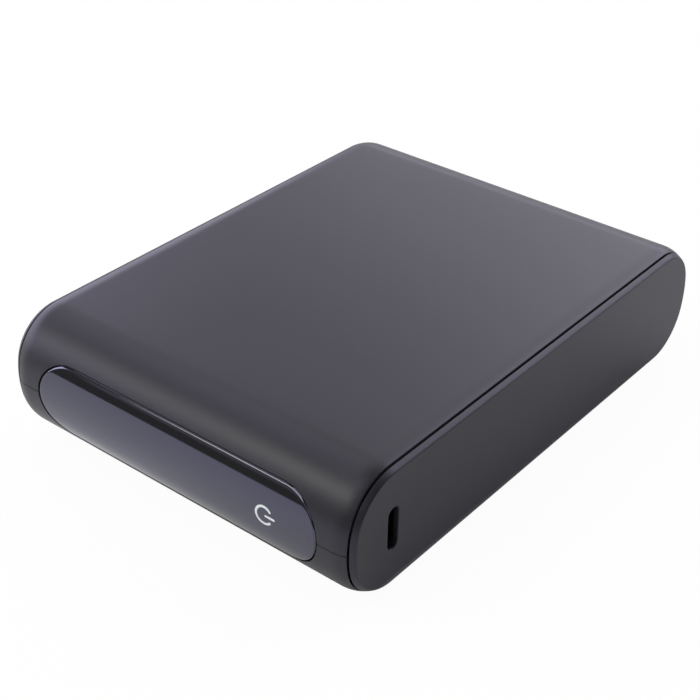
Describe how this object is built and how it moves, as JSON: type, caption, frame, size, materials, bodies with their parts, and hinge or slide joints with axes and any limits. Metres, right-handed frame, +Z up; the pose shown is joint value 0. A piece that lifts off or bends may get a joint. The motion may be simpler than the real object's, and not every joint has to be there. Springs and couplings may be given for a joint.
{
  "type": "network attached storage",
  "caption": "Flat pocket network storage box with rolled front and back, end caps, a rocking glossy front key, a small hard drive and a battery inside.",
  "frame": {"origin": "middle of the base, on the plane of the feet", "axes": "+X to the right end with the USB-C slot, -Y to the front with the key, +Z up"},
  "size_m": [0.093, 0.128, 0.0306],
  "materials": {
    "case_plastic": "fine matte moulded texture",
    "cap_plastic": "fine matte moulded texture",
    "gloss_key": "polished",
    "white_mark": "moulded in, flush",
    "black_rubber": "matte",
    "screw_steel": "turned",
    "sheet_steel": "brushed",
    "dark_steel": "black plated",
    "cast_aluminium": "cast and milled",
    "platter_mirror": "mirror polished",
    "frame_plastic": "matte moulded",
    "white_plastic": "satin",
    "clear_guide": "clear",
    "chip_black": "matte moulded",
    "board_green": "solder resist",
    "contact_gold": "gold plated",
    "battery_foil": "laminate foil",
    "wire_red": "insulated wire"
  },
  "bodies": {
    "case": {"upper_shell": "case_plastic", "lower_shell": "case_plastic", "left_end_cap": "cap_plastic", "right_end_cap": "cap_plastic", "rubber_feet": "black_rubber", "case_screws": "screw_steel", "hinge_pin": "screw_steel", "panel_carrier": "frame_plastic", "light_guide": "clear_guide", "power_switch": "chip_black", "power_light": "white_plastic", "usb_socket_shell": "dark_steel", "usb_socket_tongue": "chip_black", "network_socket": "chip_black", "network_contacts": "contact_gold", "drive_base": "cast_aluminium", "drive_cover": "sheet_steel", "cover_screws": "dark_steel", "spindle_shaft": "screw_steel", "arm_pivot": "screw_steel", "magnet_yokes": "sheet_steel", "drive_board": "board_green", "drive_connector": "chip_black", "drive_bumpers": "black_rubber", "drive_socket": "chip_black", "link_board": "board_green", "middle_frame": "frame_plastic", "main_board": "board_green", "board_screws": "screw_steel", "processor": "chip_black", "heat_spreader": "cast_aluminium", "memory_chips": "chip_black", "network_transformer": "chip_black", "wireless_module": "sheet_steel", "wireless_antennas": "contact_gold", "antenna_leads": "black_rubber", "battery_pack": "battery_foil", "battery_leads": "wire_red", "battery_header": "white_plastic"},
    "power_key": {"front_panel": "gloss_key", "power_mark": "white_mark"},
    "switch_plunger": {"switch_plunger": "white_plastic"},
    "disk": {"drive_hub": "cast_aluminium", "drive_platter": "platter_mirror", "platter_clamp": "sheet_steel"},
    "head_arm": {"head_arm": "cast_aluminium"}
  },
  "joints": [
    {"name": "key_press", "type": "hinge", "parent": "case", "child": "power_key", "pos_m": [-0.033, -0.0588, 0.0158], "axis": [0, 0, 1], "range_deg": [0, 0.4], "stiffness_Nm_per_rad": 10},
    {"name": "plunger_press", "type": "slide", "parent": "case", "child": "switch_plunger", "axis": [0, 1, 0], "range_m": [0, 0.00042]},
    {"name": "disk_spin", "type": "hinge", "parent": "case", "child": "disk", "pos_m": [0, 0.01828, 0.0075], "axis": [0, 0, 1], "continuous": true},
    {"name": "arm_sweep", "type": "hinge", "parent": "case", "child": "head_arm", "pos_m": [0.018, -0.01772, 0.0075], "axis": [0, 0, 1], "range_deg": [-36, 0]}
  ],
  "couplings": [
    {"joint": "plunger_press", "follows": "key_press", "m_per_rad": 0.0583}
  ]
}
